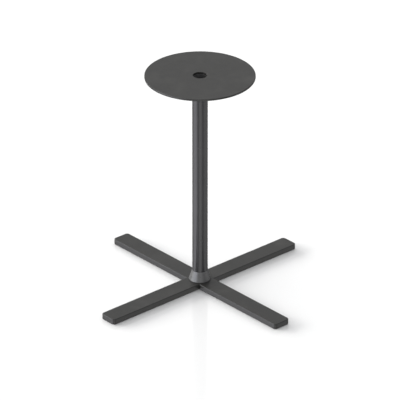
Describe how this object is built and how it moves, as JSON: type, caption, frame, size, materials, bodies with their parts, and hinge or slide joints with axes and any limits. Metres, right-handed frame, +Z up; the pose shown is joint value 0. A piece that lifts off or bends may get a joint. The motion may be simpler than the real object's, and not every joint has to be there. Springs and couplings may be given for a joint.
{
  "type": "pedestal table base",
  "caption": "Free-standing pedestal base: round top plate on a tube column, conical collar, flat-bar cross foot and screw-in levelling feet.",
  "frame": {"origin": "on the floor, under the axis of the column", "axes": "+Z up along the column; the two bars of the cross lie along X and Y"},
  "size_m": [0.76, 0.76, 0.72],
  "materials": {
    "powder_coat": "fine-textured charcoal powder coat, matt",
    "column_coat": "smooth charcoal powder coat, satin",
    "collar_coat": "smooth grey metallic coat, satin",
    "zinc_steel": "bright zinc plate",
    "bare_steel": "turned steel, lightly oiled",
    "black_screw": "black oxide",
    "black_nylon": "moulded nylon, fine grain",
    "black_rubber": "matt rubber"
  },
  "bodies": {
    "root": {"top_plate": "powder_coat", "top_hub": "collar_coat", "column_tube": "column_coat", "tie_rod": "zinc_steel", "top_washer": "zinc_steel", "top_lock_washer": "zinc_steel", "top_nut": "zinc_steel", "base_spigot": "bare_steel", "cone_collar": "collar_coat", "collar_gasket": "black_rubber", "collar_grub_screw": "black_screw", "cross_bar_x": "powder_coat", "cross_bar_y": "powder_coat", "base_screws": "black_screw"},
    "sole_right": {"foot_sole_right": "black_rubber"},
    "screw_foot_right": {"foot_pad_right": "black_nylon", "foot_stud_right": "zinc_steel"},
    "sole_back": {"foot_sole_back": "black_rubber"},
    "screw_foot_back": {"foot_pad_back": "black_nylon", "foot_stud_back": "zinc_steel"},
    "sole_left": {"foot_sole_left": "black_rubber"},
    "screw_foot_left": {"foot_pad_left": "black_nylon", "foot_stud_left": "zinc_steel"},
    "sole_front": {"foot_sole_front": "black_rubber"},
    "screw_foot_front": {"foot_pad_front": "black_nylon", "foot_stud_front": "zinc_steel"}
  },
  "joints": [
    {"name": "foot_height_right", "type": "slide", "parent": "root", "child": "sole_right", "axis": [0, 0, -1], "range_m": [0, 0.005]},
    {"name": "foot_turn_right", "type": "hinge", "parent": "sole_right", "child": "screw_foot_right", "pos_m": [0.348, 0, 0], "axis": [0, 0, -1], "range_deg": [0, 1440]},
    {"name": "foot_height_back", "type": "slide", "parent": "root", "child": "sole_back", "axis": [0, 0, -1], "range_m": [0, 0.005]},
    {"name": "foot_turn_back", "type": "hinge", "parent": "sole_back", "child": "screw_foot_back", "pos_m": [0, 0.348, 0], "axis": [0, 0, -1], "range_deg": [0, 1440]},
    {"name": "foot_height_left", "type": "slide", "parent": "root", "child": "sole_left", "axis": [0, 0, -1], "range_m": [0, 0.005]},
    {"name": "foot_turn_left", "type": "hinge", "parent": "sole_left", "child": "screw_foot_left", "pos_m": [-0.348, 0, 0], "axis": [0, 0, -1], "range_deg": [0, 1440]},
    {"name": "foot_height_front", "type": "slide", "parent": "root", "child": "sole_front", "axis": [0, 0, -1], "range_m": [0, 0.005]},
    {"name": "foot_turn_front", "type": "hinge", "parent": "sole_front", "child": "screw_foot_front", "pos_m": [0, -0.348, 0], "axis": [0, 0, -1], "range_deg": [0, 1440]}
  ],
  "couplings": [
    {"joint": "foot_height_right", "follows": "foot_turn_right", "m_per_rad": 0.00019894},
    {"joint": "foot_height_back", "follows": "foot_turn_back", "m_per_rad": 0.00019894},
    {"joint": "foot_height_left", "follows": "foot_turn_left", "m_per_rad": 0.00019894},
    {"joint": "foot_height_front", "follows": "foot_turn_front", "m_per_rad": 0.00019894}
  ]
}
